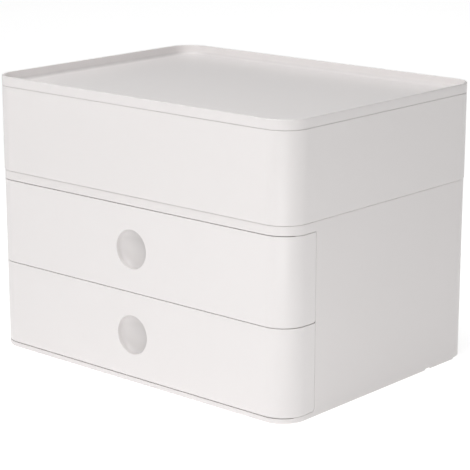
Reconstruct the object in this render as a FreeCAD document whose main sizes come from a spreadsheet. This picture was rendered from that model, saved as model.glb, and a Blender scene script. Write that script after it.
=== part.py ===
# Desk organiser: a moulded housing with two drawers, and on it an organiser box under a tray lid.
# Millimetres, +Z up, front towards -Y, origin in the middle of the surface that it stands on.
import FreeCAD, Part
import Sketcher
import os

Vector = FreeCAD.Vector
Constraint = Sketcher.Constraint

doc = FreeCAD.newDocument("DeskOrganiser")

# ---------------------------------------------------------------- driving dimensions

SIZES = (
    ("boxWidth", 260, "organiser box and lid, side to side"),
    ("boxDepth", 195, "organiser box and lid, front to back"),
    ("cornerRadius", 18, "upright corners of the box and lid"),
    ("housingInset", 0.4, "housing stands back from the box by this all round"),
    ("wallThick", 2.0, "housing and box walls"),
    ("footProud", 1.5, "rubber foot below the housing's skirt"),
    ("footDiameter", 12, "rubber foot"),
    ("footInset", 21, "foot centre in from the housing's side, front and back"),
    ("skirtHeight", 1.65, "skirt below the floor"),
    ("skirtRound", 1.4, "rounding of the skirt's lower outer edge"),
    ("skirtNotch", 7, "relief in the side skirt, front to back"),
    ("skirtNotchPlace", 51, "middle of that relief, behind the centre"),
    ("floorThick", 2.0, "housing floor"),
    ("shelfThick", 2.0, "shelf between the drawers"),
    ("plateThick", 2.4, "housing top plate"),
    ("rimHeight", 3.2, "rim round the top plate, which locates the box"),
    ("seamGap", 0.55, "gap above and below a drawer front"),
    ("returnGap", 0.5, "gap between a front's return and the side wall"),
    ("frontHeight", 56.55, "drawer front"),
    ("frontThick", 2.4, "drawer front's wall"),
    ("drawerReturn", 26.8, "front's return, from the front face back"),
    ("returnCornerRound", 2.2, "lower rear corner of the return and of its opening"),
    ("pullDiameter", 26, "round finger pull"),
    ("pullDepth", 8, "depth of the finger pull"),
    ("pullWall", 1.8, "wall behind the finger pull"),
    ("webThick", 1.8, "web that closes a front to its tray"),
    ("hookDrop", 6, "hook behind the tray's front wall"),
    ("hookThick", 1.6, "that hook"),
    ("hookInset", 12, "hook's end in from the tray's side wall"),
    ("spacerThick", 2, "spacer rib between front and tray"),
    ("spacerPlace", 75, "spacer rib, either side of the centre"),
    ("trayWall", 1.8, "drawer tray walls"),
    ("trayFloor", 1.8, "drawer tray floor"),
    ("trayFrontRound", 8, "upright front corners of the tray"),
    ("trayRearRound", 15, "upright rear corners of the tray"),
    ("pullGap", 0.3, "finger pull to the tray's front wall"),
    ("runGap", 0.4, "drawer tray to its guide ribs"),
    ("rearGap", 1.2, "drawer tray to the housing's back"),
    ("headroom", 0.9, "tray rim to what is above it"),
    ("guideProud", 1.0, "guide rib on the side wall"),
    ("guideHeight", 3, "guide rib, top to bottom"),
    ("lowGuide", 9, "lower guide rib above the runner ribs"),
    ("highGuide", 38, "upper guide rib above the runner ribs"),
    ("guideLength", 140, "guide and runner ribs, front to back"),
    ("runnerHeight", 1.6, "runner rib under the tray"),
    ("runnerThick", 3, "runner rib, side to side"),
    ("runnerInset", 26, "runner rib in from the tray's side"),
    ("holdDownThick", 4.5, "hold-down rail above the upper tray's side wall"),
    ("stopHeight", 1.2, "pull-out stop under the tray and its catch"),
    ("stopWidth", 22, "pull-out stop, side to side"),
    ("stopThick", 2.5, "pull-out stop, front to back"),
    ("stopPlace", 60, "pull-out stop, either side of the centre"),
    ("catchRamp", 5, "ramp on the front of the catch"),
    ("drawerTravel", 125, "drawer, from shut to its stop"),
    ("boxSeam", 0.6, "shadow gap under the organiser box"),
    ("boxHeight", 57.3, "organiser box wall, outside"),
    ("boxFloor", 2.2, "organiser box floor"),
    ("locatorGap", 0.5, "locating ribs under the box to the housing's rim"),
    ("locatorThick", 2, "those ribs"),
    ("dividerThick", 1.8, "organiser divider"),
    ("dividerHeight", 46, "organiser divider"),
    ("dividerPlace", 42, "divider, either side of the centre"),
    ("dividerRound", 4, "upper corners of a divider"),
    ("dividerFit", 0.25, "divider in its slot, each side and each end"),
    ("dividerDip", 8, "finger dip in the divider's top edge"),
    ("dipWidth", 44, "that dip, front to back"),
    ("dipRound", 3.5, "corners of that dip"),
    ("slotProud", 2.5, "slot ribs on the box's wall"),
    ("slotThick", 1.6, "slot ribs, side to side"),
    ("outletWidth", 26, "cable outlet in the box's back"),
    ("outletDepth", 11, "cable outlet, down from the box's top edge"),
    ("outletRound", 3, "lower corners of the cable outlet"),
    ("lidHeight", 6.6, "lid rim above the box"),
    ("lidRim", 2, "lid rim, at its top"),
    ("lidThick", 2, "lid floor"),
    ("trayDepth", 7, "lid floor below the rim"),
    ("coveRound", 3, "cove at the foot of the rim"),
    ("panGap", 0.3, "lid's sunk floor to the box's wall"),
    ("rebateHeight", 0.6, "shadow gap between box and lid"),
    ("rebateDepth", 0.9, "depth of that shadow gap"),
    ("edgeEase", 0.4, "small easing of edges that show"),
    ("lowerEase", 0.8, "easing of lower outer edges"),
    ("rimRound", 0.8, "rounding of the lid's top outer edge"),
)

# ---------------------------------------------------------------- places worked out from them

PLACES = (
    ("boxHalfWidth", "Sizes.boxWidth / 2"),
    ("boxHalfDepth", "Sizes.boxDepth / 2"),
    ("boxInnerRadius", "Sizes.cornerRadius - Sizes.wallThick"),
    ("halfWidth", "boxHalfWidth - Sizes.housingInset"),
    ("halfDepth", "boxHalfDepth - Sizes.housingInset"),
    ("outerRadius", "Sizes.cornerRadius - Sizes.housingInset"),
    ("innerHalfWidth", "halfWidth - Sizes.wallThick"),
    ("innerHalfDepth", "halfDepth - Sizes.wallThick"),
    ("innerRadius", "outerRadius - Sizes.wallThick"),
    # heights, from the feet up
    ("floorBottom", "Sizes.footProud + Sizes.skirtHeight"),
    ("floorTop", "floorBottom + Sizes.floorThick"),
    ("drawerPitch", "Sizes.frontHeight + Sizes.seamGap"),
    ("shelfTop", "floorTop + drawerPitch"),
    ("shelfBottom", "shelfTop - Sizes.shelfThick"),
    ("plateBottom", "floorTop + 2 * drawerPitch + Sizes.seamGap"),
    ("plateTop", "plateBottom + Sizes.plateThick"),
    ("housingTop", "plateTop + Sizes.rimHeight"),
    ("boxBottom", "housingTop + Sizes.boxSeam"),
    ("boxTop", "boxBottom + Sizes.boxHeight"),
    ("boxFloorTop", "boxBottom + Sizes.boxFloor"),
    ("lidTop", "boxTop + Sizes.lidHeight"),
    ("lidFloorTop", "lidTop - Sizes.trayDepth"),
    ("lidBottom", "lidFloorTop - Sizes.lidThick"),
    # the lower drawer; the upper one stands one pitch above it
    ("frontBottom", "floorTop + Sizes.seamGap"),
    ("frontTop", "frontBottom + Sizes.frontHeight"),
    ("pullHeight", "frontBottom + Sizes.frontHeight / 2"),
    ("trayBottom", "floorTop + Sizes.runnerHeight"),
    ("trayTop", "shelfBottom - Sizes.headroom"),
    ("returnEnd", "Sizes.drawerReturn - halfDepth"),
    ("sideWallFront", "returnEnd + Sizes.returnGap"),
    ("trayHalfWidth", "innerHalfWidth - Sizes.guideProud - Sizes.runGap"),
    ("trayFront", "Sizes.pullDepth + Sizes.pullWall + Sizes.pullGap - halfDepth"),
    ("trayBack", "innerHalfDepth - Sizes.rearGap"),
    ("hookBack", "trayFront + Sizes.trayWall + Sizes.hookThick"),
    ("pullRadius", "Sizes.pullDiameter / 2"),
    ("pullSphere", "(pullRadius * pullRadius + Sizes.pullDepth * Sizes.pullDepth) / (2 * Sizes.pullDepth)"),
    ("pullFlat", "(pullSphere + Sizes.pullWall) * (sqrt(2) - 1)"),
    # runners, stops and catches
    ("runnerPlace", "trayHalfWidth - Sizes.runnerInset"),
    ("ribFront", "sideWallFront + Sizes.returnGap"),
    ("ribBack", "ribFront + Sizes.guideLength"),
    ("stopBack", "trayBack - Sizes.stopThick"),
    ("stopFront", "stopBack - Sizes.stopThick"),
    ("catchBack", "stopFront - Sizes.drawerTravel - Sizes.runGap"),
    # the organiser box
    ("boxInnerHalfWidth", "boxHalfWidth - Sizes.wallThick"),
    ("boxInnerHalfDepth", "boxHalfDepth - Sizes.wallThick"),
    ("locatorWide", "innerHalfWidth - Sizes.locatorGap"),
    ("locatorDeep", "innerHalfDepth - Sizes.locatorGap"),
    ("locatorLong", "innerHalfWidth - innerRadius"),
    ("locatorShort", "innerHalfDepth - innerRadius"),
    ("slotHalf", "Sizes.dividerThick / 2 + Sizes.dividerFit"),
    ("slotBack", "boxInnerHalfDepth - Sizes.slotProud"),
    ("dividerHalf", "boxInnerHalfDepth - Sizes.dividerFit"),
    ("dividerTop", "boxFloorTop + Sizes.dividerHeight"),
    # the lid's sunk floor
    ("panHalfWidth", "boxInnerHalfWidth - Sizes.panGap"),
    ("panHalfDepth", "boxInnerHalfDepth - Sizes.panGap"),
    ("panRadius", "boxInnerRadius - Sizes.panGap"),
    # feet
    ("footRadius", "Sizes.footDiameter / 2"),
    ("footPlaceX", "halfWidth - Sizes.footInset"),
    ("footPlaceY", "halfDepth - Sizes.footInset"),
)

sizes = doc.addObject("Spreadsheet::Sheet", "Sizes")
for row, (alias, number, meaning) in enumerate(SIZES, 1):
    sizes.set(f"A{row}", alias)
    sizes.set(f"B{row}", str(number))
    sizes.set(f"C{row}", meaning)
    sizes.setAlias(f"B{row}", alias)

places = doc.addObject("Spreadsheet::Sheet", "Places")
for row, (alias, formula) in enumerate(PLACES, 1):
    places.set(f"A{row}", alias)
    places.set(f"B{row}", "=" + formula)
    places.setAlias(f"B{row}", alias)
doc.recompute()


# ---------------------------------------------------------------- helpers

def size(expression):
    # The number that an expression on the two sheets comes to.
    return float(places.evalExpression(expression))


def newBody(label, lift="0", across="0", along="0"):
    body = doc.addObject("PartDesign::Body", label.title().replace("_", ""))
    body.Label = label
    for axis, expression in zip("xyz", (across, along, lift)):
        body.setExpression(f"Placement.Base.{axis}", expression)
    return body


def newSketch(body, name, level="0", role="XY_Plane", across="0", up="0"):
    # A sketch on one of the body's own origin planes, moved by level along the plane's normal.
    sketch = body.newObject("Sketcher::SketchObject", name)
    plane = next(one for one in body.Origin.OriginFeatures if one.Role == role)
    sketch.AttachmentSupport = [(plane, "")]
    sketch.MapMode = "FlatFace"
    for axis, expression in zip("xyz", (across, up, level)):
        sketch.setExpression(f".AttachmentOffset.Base.{axis}", expression)
    return sketch


def drive(sketch, kind, *ends, expression):
    # Adds a dimension and binds it to the sheets.
    index = sketch.addConstraint(Constraint(kind, *ends, size(expression)))
    sketch.setExpression(f"Constraints[{index}]", expression)


def outline(sketch, corners):
    # A closed outline of level and upright lines. Each corner is (x, y) or (x, y, radius).
    points = [Vector(size(corner[0]), size(corner[1]), 0) for corner in corners]
    radii = [corner[2] if len(corner) > 2 else None for corner in corners]
    count = len(corners)
    lines, starts, ends = [], [], []
    for here in range(count):
        there = (here + 1) % count
        run = (points[there] - points[here]).normalize()
        starts.append(points[here] + run * (size(radii[here]) if radii[here] else 0))
        ends.append(points[there] - run * (size(radii[there]) if radii[there] else 0))
        lines.append(sketch.addGeometry(Part.LineSegment(starts[here], ends[here])))
    for here in range(count):
        before = here - 1
        if radii[here] is None:
            sketch.addConstraint(Constraint("Coincident", lines[before], 2, lines[here], 1))
            continue
        middle = ends[before] + starts[here] - points[here]
        half = ((points[here] - middle).normalize()) * size(radii[here])
        arc = sketch.addGeometry(Part.Arc(ends[before], middle + half, starts[here]))
        turnsLeft = (ends[before] - starts[before]).cross(ends[here] - starts[here]).z > 0
        first, last = (1, 2) if turnsLeft else (2, 1)
        sketch.addConstraint(Constraint("Tangent", lines[before], 2, arc, first))
        sketch.addConstraint(Constraint("Tangent", lines[here], 1, arc, last))
        drive(sketch, "Radius", arc, expression=radii[here])
    for here in range(count):
        there = (here + 1) % count
        isLevel = abs(points[here].y - points[there].y) < 1e-6
        sketch.addConstraint(Constraint("Horizontal" if isLevel else "Vertical", lines[here]))
        kind, part = ("DistanceY", 1) if isLevel else ("DistanceX", 0)
        drive(sketch, kind, -1, 1, lines[here], 1, expression=corners[here][part])


def rectangle(sketch, left, right, front, back):
    outline(sketch, [(left, front), (right, front), (right, back), (left, back)])


def roundedPlan(sketch, halfWidth, halfDepth, radius):
    right, back = f"{halfWidth}", f"{halfDepth}"
    left, front = f"-({halfWidth})", f"-({halfDepth})"
    outline(sketch, [(left, front, radius), (right, front, radius),
                     (right, back, radius), (left, back, radius)])


def aroundPlan(sketch, halfWidth, halfDepth, radius):
    # Everything outside a rounded plan, out to past the lid's own outline.
    right, back = "Places.boxHalfWidth + Sizes.wallThick", "Places.boxHalfDepth + Sizes.wallThick"
    rectangle(sketch, f"-({right})", right, f"-({back})", back)
    roundedPlan(sketch, halfWidth, halfDepth, radius)


def polygon(sketch, corners):
    # A closed outline of slanting lines, with every corner dimensioned.
    points = [Vector(size(across), size(up), 0) for across, up in corners]
    lines = [sketch.addGeometry(Part.LineSegment(point, points[(index + 1) % len(points)]))
             for index, point in enumerate(points)]
    for index, (across, up) in enumerate(corners):
        sketch.addConstraint(Constraint("Coincident", lines[index - 1], 2, lines[index], 1))
        drive(sketch, "DistanceX", -1, 1, lines[index], 1, expression=across)
        drive(sketch, "DistanceY", -1, 1, lines[index], 1, expression=up)


def circle(sketch, across, up, radius):
    centre = Vector(size(across), size(up), 0)
    ring = sketch.addGeometry(Part.Circle(centre, Vector(0, 0, 1), size(radius)))
    drive(sketch, "Radius", ring, expression=radius)
    drive(sketch, "DistanceX", -1, 1, ring, 3, expression=across)
    drive(sketch, "DistanceY", -1, 1, ring, 3, expression=up)


def finish(feature, before):
    # Recomputes, and stops the build where a feature changed nothing.
    doc.recompute()
    if before is not None and abs(feature.Shape.Volume - before) < 1e-3:
        raise RuntimeError(f"{feature.Label} changed nothing")
    return feature


def volumeOf(body):
    return body.Tip.Shape.Volume if body.Tip else None


def pad(body, sketch, length):
    before = volumeOf(body)
    feature = body.newObject("PartDesign::Pad", "Pad" + sketch.Name)
    feature.Profile = sketch
    feature.setExpression("Length", length)
    return finish(feature, before)


def pocket(body, sketch, length):
    # Cuts downwards, or against the sketch's normal.
    before = volumeOf(body)
    feature = body.newObject("PartDesign::Pocket", "Cut" + sketch.Name)
    feature.Profile = sketch
    feature.setExpression("Length", length)
    return finish(feature, before)


def turned(body, kind, sketch):
    # A full turn about the sketch's level axis.
    before = volumeOf(body)
    feature = body.newObject("PartDesign::" + kind, kind + sketch.Name)
    feature.Profile = sketch
    feature.ReferenceAxis = (sketch, ["H_Axis"])
    feature.Angle = 360
    return finish(feature, before)


def eased(body, kind, name, amount, chosen):
    # Rounds or chamfers the edges of the body so far that chosen picks by their bounding boxes.
    before = volumeOf(body)
    base = body.Tip
    names = [f"Edge{number}" for number, edge in enumerate(base.Shape.Edges, 1) if chosen(edge.BoundBox)]
    if not names:
        raise RuntimeError(f"{name} found no edge")
    feature = body.newObject("PartDesign::" + kind, name)
    feature.Base = (base, names)
    feature.setExpression({"Fillet": "Radius", "Chamfer": "Size"}[kind], amount)
    return finish(feature, before)


def rounded(body, name, radius, chosen):
    return eased(body, "Fillet", name, radius, chosen)


def chamfered(body, name, width, chosen):
    return eased(body, "Chamfer", name, width, chosen)


def near(value, expression):
    return abs(value - size(expression)) < 0.01


def isLevelAt(box, expression):
    # The edge lies in the level plane at that height.
    return near(box.ZMin, expression) and near(box.ZMax, expression)


def isOnPlan(box, halfWidth, halfDepth, radius):
    # The edge lies on the upright wall of a rounded plan of that size.
    wide, deep, turn = size(halfWidth), size(halfDepth), size(radius)
    across = max(abs(box.XMin), abs(box.XMax))
    along = max(abs(box.YMin), abs(box.YMax))
    isSide = abs(across - wide) < 0.01
    isEnd = abs(along - deep) < 0.01
    least = min(abs(box.XMin), abs(box.XMax)) > wide - turn - 0.01 or min(
        abs(box.YMin), abs(box.YMax)) > deep - turn - 0.01
    return (isSide or isEnd) and (least or box.XMin * box.XMax < 0 or box.YMin * box.YMax < 0)


# ---------------------------------------------------------------- housing

def makeHousing():
    body = newBody("housing")
    plan = ("Places.halfWidth", "Places.halfDepth", "Places.outerRadius")
    inner = ("Places.innerHalfWidth", "Places.innerHalfDepth", "Places.innerRadius")

    shell = newSketch(body, "HousingPlan", "Sizes.footProud")
    roundedPlan(shell, *plan)
    pad(body, shell, "Places.housingTop - Sizes.footProud")

    # the recess that the organiser box's ring stands in, and the hollow inside the skirt
    recess = newSketch(body, "TopRecess", "Places.housingTop")
    roundedPlan(recess, *inner)
    pocket(body, recess, "Sizes.rimHeight")
    hollow = newSketch(body, "SkirtHollow", "Places.floorBottom")
    roundedPlan(hollow, *inner)
    pocket(body, hollow, "Sizes.skirtHeight")

    # the front opening, where the drawer fronts wrap round both corners
    opening = newSketch(body, "FrontOpening", "Places.plateBottom")
    rectangle(opening, "-Places.boxHalfWidth", "Places.boxHalfWidth", "-Places.boxHalfDepth",
              "Places.sideWallFront")
    pocket(body, opening, "Places.plateBottom - Places.floorTop")

    # one bay below the shelf and one above it
    for name, top, bottom in (("LowerBay", "Places.shelfBottom", "Places.floorTop"),
                              ("UpperBay", "Places.plateBottom", "Places.shelfTop")):
        bay = newSketch(body, name, top)
        outline(bay, [("-Places.innerHalfWidth", "-Places.halfDepth"),
                      ("Places.innerHalfWidth", "-Places.halfDepth"),
                      ("Places.innerHalfWidth", "Places.innerHalfDepth", "Places.innerRadius"),
                      ("-Places.innerHalfWidth", "Places.innerHalfDepth", "Places.innerRadius")])
        pocket(body, bay, f"{top} - {bottom}")

    rounded(body, "OpeningCorners", "Sizes.returnCornerRound", lambda box:
            isLevelAt(box, "Places.floorTop") and near(box.YMin, "Places.sideWallFront")
            and near(box.YMax, "Places.sideWallFront") and near(box.XLength, "Sizes.wallThick"))
    rounded(body, "SkirtRound", "Sizes.skirtRound", lambda box:
            isLevelAt(box, "Sizes.footProud") and isOnPlan(box, *plan))
    chamfered(body, "RimEase", "Sizes.edgeEase", lambda box:
              isLevelAt(box, "Places.housingTop") and isOnPlan(box, *plan))

    # ribs that guide, carry and stop a drawer, the same in both bays
    for level, lift in (("Lower", "0"), ("Upper", "Places.drawerPitch")):
        floor = f"Places.floorTop + {lift}"
        runners = newSketch(body, level + "Runners", floor)
        for side in ("-1", "1"):
            middle = f"{side} * Places.runnerPlace"
            rectangle(runners, f"{middle} - Sizes.runnerThick / 2", f"{middle} + Sizes.runnerThick / 2",
                      "Places.ribFront", "Places.ribBack")
        pad(body, runners, "Sizes.runnerHeight")

        for name, height in (("LowGuides", "Sizes.lowGuide"), ("HighGuides", "Sizes.highGuide")):
            guides = newSketch(body, level + name, f"Places.trayBottom + {height} + {lift}")
            for inside, buried in (("-Places.trayHalfWidth - Sizes.runGap",
                                    "-Places.halfWidth + Sizes.wallThick / 2"),
                                   ("Places.halfWidth - Sizes.wallThick / 2",
                                    "Places.trayHalfWidth + Sizes.runGap")):
                rectangle(guides, buried, inside, "Places.ribFront", "Places.ribBack")
            pad(body, guides, "Sizes.guideHeight")

        for side in ("-1", "1"):
            name = level + ("LeftCatch" if side == "-1" else "RightCatch")
            catch = newSketch(body, name, f"{side} * Sizes.stopPlace - Sizes.stopWidth / 2", "YZ_Plane")
            polygon(catch, [(f"Places.catchBack - Sizes.catchRamp", floor),
                            ("Places.catchBack", floor),
                            ("Places.catchBack", f"{floor} + Sizes.stopHeight"),
                            ("Places.catchBack - Sizes.stopHeight", f"{floor} + Sizes.stopHeight")])
            pad(body, catch, "Sizes.stopWidth")

    # rails that hold the upper tray's rim down; the shelf does the same for the lower tray
    rails = newSketch(body, "HoldDownRails", "Places.trayTop + Places.drawerPitch + Sizes.headroom")
    railStart = "Places.innerHalfWidth - Sizes.holdDownThick"
    buried = "Places.halfWidth - Sizes.wallThick / 2"
    rectangle(rails, railStart, buried, "Places.ribFront", "Places.ribBack")
    rectangle(rails, f"-({buried})", f"-({railStart})", "Places.ribFront", "Places.ribBack")
    pad(body, rails, "Places.plateBottom - Places.trayTop - Places.drawerPitch - Sizes.headroom")

    # reliefs in the skirt: one in each side, and one round each rear corner
    reliefs = newSketch(body, "SkirtReliefs", "Places.floorBottom")
    for side in ("-1", "1"):
        inside = f"{side} * (Places.innerHalfWidth - Sizes.wallThick)"
        outside = f"{side} * Places.boxHalfWidth"
        corner = f"{side} * (Places.halfWidth - Places.outerRadius)"
        left, right = (outside, inside) if side == "-1" else (inside, outside)
        rectangle(reliefs, left, right, "Sizes.skirtNotchPlace - Sizes.skirtNotch / 2",
                  "Sizes.skirtNotchPlace + Sizes.skirtNotch / 2")
        left, right = (outside, corner) if side == "-1" else (corner, outside)
        rectangle(reliefs, left, right, "Places.halfDepth - Places.outerRadius", "Places.boxHalfDepth")
    pocket(body, reliefs, "Sizes.skirtHeight")
    return body


# ---------------------------------------------------------------- drawers

def makeTray(label, lift):
    body = newBody(label, lift)
    shell = newSketch(body, "TrayPlan", "Places.trayBottom")
    outline(shell, [("-Places.trayHalfWidth", "Places.trayFront", "Sizes.trayFrontRound"),
                    ("Places.trayHalfWidth", "Places.trayFront", "Sizes.trayFrontRound"),
                    ("Places.trayHalfWidth", "Places.trayBack", "Sizes.trayRearRound"),
                    ("-Places.trayHalfWidth", "Places.trayBack", "Sizes.trayRearRound")])
    pad(body, shell, "Places.trayTop - Places.trayBottom")

    inside = newSketch(body, "TrayInside", "Places.trayTop")
    halfWidth = "(Places.trayHalfWidth - Sizes.trayWall)"
    front = "Places.trayFront + Sizes.trayWall"
    back = "Places.trayBack - Sizes.trayWall"
    frontRound = "Sizes.trayFrontRound - Sizes.trayWall"
    rearRound = "Sizes.trayRearRound - Sizes.trayWall"
    outline(inside, [(f"-{halfWidth}", front, frontRound), (halfWidth, front, frontRound),
                     (halfWidth, back, rearRound), (f"-{halfWidth}", back, rearRound)])
    pocket(body, inside, "Places.trayTop - Places.trayBottom - Sizes.trayFloor")
    chamfered(body, "TrayBottomEase", "Sizes.lowerEase", lambda box:
              isLevelAt(box, "Places.trayBottom"))

    # the bars that meet the housing's catches when the drawer is pulled right out
    stops = newSketch(body, "TrayStops", "Places.trayBottom - Sizes.stopHeight")
    for side in ("-1", "1"):
        middle = f"{side} * Sizes.stopPlace"
        rectangle(stops, f"{middle} - Sizes.stopWidth / 2", f"{middle} + Sizes.stopWidth / 2",
                  "Places.stopFront", "Places.stopBack")
    pad(body, stops, "Sizes.stopHeight")
    return body


def makeFront(label, lift):
    body = newBody(label, lift)
    halfWidth, front, back = "Places.halfWidth", "-Places.halfDepth", "Places.returnEnd"
    insideWidth = "(Places.halfWidth - Sizes.frontThick)"
    insideFront = "Sizes.frontThick - Places.halfDepth"
    insideRound = "Places.outerRadius - Sizes.frontThick"

    wrap = newSketch(body, "FrontPlan", "Places.frontBottom")
    outline(wrap, [(f"-{halfWidth}", front, "Places.outerRadius"), (halfWidth, front, "Places.outerRadius"),
                   (halfWidth, back), (insideWidth, back), (insideWidth, insideFront, insideRound),
                   (f"-{insideWidth}", insideFront, insideRound), (f"-{insideWidth}", back),
                   (f"-{halfWidth}", back)])
    pad(body, wrap, "Sizes.frontHeight")
    rounded(body, "ReturnCorners", "Sizes.returnCornerRound", lambda box:
            isLevelAt(box, "Places.frontBottom") and near(box.YMin, back) and near(box.YMax, back))
    chamfered(body, "FrontEase", "Sizes.edgeEase", lambda box:
              isOnPlan(box, "Places.halfWidth", "Places.halfDepth", "Places.outerRadius")
              and (isLevelAt(box, "Places.frontBottom") or isLevelAt(box, "Places.frontTop")))

    # the finger pull's back, a cone at 45 degrees with a flat end, while the panel is still whole
    cup = newSketch(body, "PullBack", role="YZ_Plane", across="-Places.halfDepth", up="Places.pullHeight")
    root, end = "Sizes.frontThick / 2", "Sizes.pullDepth + Sizes.pullWall"
    polygon(cup, [(root, "0"), (end, "0"), (end, "Places.pullFlat"),
                  (root, f"Places.pullFlat + {end} - {root}")])
    turned(body, "Revolution", cup)

    # the web that laps over the rim of the tray's front end, its hook and the spacer ribs
    web = newSketch(body, "FrontWeb", "Places.trayTop")
    middle = "(Places.halfWidth - Sizes.frontThick / 2)"
    webRound = "Places.outerRadius - Sizes.frontThick / 2"
    webFront = "Sizes.frontThick / 2 - Places.halfDepth"
    rimInside = "(Places.trayHalfWidth - Sizes.trayWall)"
    rimRound = "Sizes.trayFrontRound - Sizes.trayWall - Sizes.hookThick"
    outline(web, [(f"-{middle}", webFront, webRound), (middle, webFront, webRound), (middle, back),
                  (rimInside, back), (rimInside, "Places.hookBack", rimRound),
                  (f"-{rimInside}", "Places.hookBack", rimRound), (f"-{rimInside}", back),
                  (f"-{middle}", back)])
    pad(body, web, "Sizes.webThick")
    hook = newSketch(body, "FrontHook", "Places.trayTop - Sizes.hookDrop")
    hookHalf = "(Places.trayHalfWidth - Sizes.hookInset)"
    rectangle(hook, f"-{hookHalf}", hookHalf, "Places.hookBack - Sizes.hookThick", "Places.hookBack")
    pad(body, hook, "Sizes.hookDrop")
    spacers = newSketch(body, "FrontSpacers", "Places.trayBottom")
    for side in ("-1", "1"):
        place = f"{side} * Sizes.spacerPlace"
        rectangle(spacers, f"{place} - Sizes.spacerThick / 2", f"{place} + Sizes.spacerThick / 2",
                  webFront, "Places.trayFront")
    pad(body, spacers, "Places.trayTop - Places.trayBottom")

    hollow = newSketch(body, "PullBowl", role="YZ_Plane", across="-Places.halfDepth",
                       up="Places.pullHeight")
    bowlSection(hollow)
    turned(body, "Groove", hollow)
    chamfered(body, "PullEase", "Sizes.edgeEase", lambda box:
              near(box.XMax, "Places.pullRadius") and near(box.YMax, front) and near(box.YMin, front))
    return body


def bowlSection(sketch):
    # Half the section of the finger pull about the level axis: the bowl's arc, carried on in front
    # of the face so that it cuts right through. The sketch's origin is on the face.
    depth, radius = size("Sizes.pullDepth"), size("Places.pullSphere")
    lip, lead = size("Places.pullRadius"), size("Sizes.frontThick")
    tip, shoulder = Vector(depth, 0, 0), Vector(0, lip, 0)
    above, foot = Vector(-lead, lip, 0), Vector(-lead, 0, 0)
    centre = Vector(depth - radius, 0, 0)
    between = centre + ((tip + shoulder) * 0.5 - centre).normalize() * radius
    arc = sketch.addGeometry(Part.Arc(tip, between, shoulder))
    top = sketch.addGeometry(Part.LineSegment(shoulder, above))
    side = sketch.addGeometry(Part.LineSegment(above, foot))
    base = sketch.addGeometry(Part.LineSegment(foot, tip))
    for one, other in ((top, side), (side, base)):
        sketch.addConstraint(Constraint("Coincident", one, 2, other, 1))
    sketch.addConstraint(Constraint("Coincident", base, 2, arc, 1))
    sketch.addConstraint(Constraint("Coincident", arc, 2, top, 1))
    for end in (1, 2):
        sketch.addConstraint(Constraint("PointOnObject", base, end, -1))
    sketch.addConstraint(Constraint("PointOnObject", arc, 3, -1))
    sketch.addConstraint(Constraint("Horizontal", top))
    sketch.addConstraint(Constraint("Vertical", side))
    drive(sketch, "Radius", arc, expression="Places.pullSphere")
    drive(sketch, "DistanceX", -1, 1, base, 2, expression="Sizes.pullDepth")
    drive(sketch, "DistanceX", -1, 1, base, 1, expression="-Sizes.frontThick")
    drive(sketch, "DistanceX", -1, 1, arc, 2, expression="0")


# ---------------------------------------------------------------- organiser box and its dividers

def makeBox():
    body = newBody("organiser_box")
    plan = ("Places.boxHalfWidth", "Places.boxHalfDepth", "Sizes.cornerRadius")
    inner = ("Places.boxInnerHalfWidth", "Places.boxInnerHalfDepth", "Places.boxInnerRadius")

    shell = newSketch(body, "BoxPlan", "Places.boxBottom")
    roundedPlan(shell, *plan)
    pad(body, shell, "Sizes.boxHeight")
    inside = newSketch(body, "BoxInside", "Places.boxTop")
    roundedPlan(inside, *inner)
    pocket(body, inside, "Sizes.boxHeight - Sizes.boxFloor")

    # the cable outlet, open at the top edge of the back wall
    outlet = newSketch(body, "CableOutlet", "Places.boxTop")
    rectangle(outlet, "-Sizes.outletWidth / 2", "Sizes.outletWidth / 2",
              "Places.boxInnerHalfDepth - Sizes.wallThick", "Places.boxHalfDepth + Sizes.wallThick")
    pocket(body, outlet, "Sizes.outletDepth")
    rounded(body, "OutletCorners", "Sizes.outletRound", lambda box:
            isLevelAt(box, "Places.boxTop - Sizes.outletDepth") and near(box.YLength, "Sizes.wallThick"))

    chamfered(body, "BoxBottomEase", "Sizes.lowerEase", lambda box:
              isLevelAt(box, "Places.boxBottom"))

    # four locating ribs that stand in the recess of the housing's top and carry the box
    locators = newSketch(body, "Locators", "Places.plateTop")
    for side in ("-1", "1"):
        outer, inner = "Places.locatorWide", "Places.locatorWide - Sizes.locatorThick"
        left, right = (f"-({outer})", f"-({inner})") if side == "-1" else (inner, outer)
        rectangle(locators, left, right, "-Places.locatorShort", "Places.locatorShort")
        outer, inner = "Places.locatorDeep", "Places.locatorDeep - Sizes.locatorThick"
        front, back = (f"-({outer})", f"-({inner})") if side == "-1" else (inner, outer)
        rectangle(locators, "-Places.locatorLong", "Places.locatorLong", front, back)
    pad(body, locators, "Places.boxBottom - Places.plateTop")

    # pairs of ribs on the front and back walls that hold the dividers
    slots = newSketch(body, "DividerSlots", "Places.boxFloorTop")
    buried = "Places.boxHalfDepth - Sizes.wallThick / 2"
    for place in ("-Sizes.dividerPlace", "Sizes.dividerPlace"):
        for left, right in ((f"{place} - Places.slotHalf - Sizes.slotThick", f"{place} - Places.slotHalf"),
                            (f"{place} + Places.slotHalf", f"{place} + Places.slotHalf + Sizes.slotThick")):
            rectangle(slots, left, right, "Places.slotBack", buried)
            rectangle(slots, left, right, f"-({buried})", "-Places.slotBack")
    pad(body, slots, "Sizes.dividerHeight")
    return body


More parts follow.
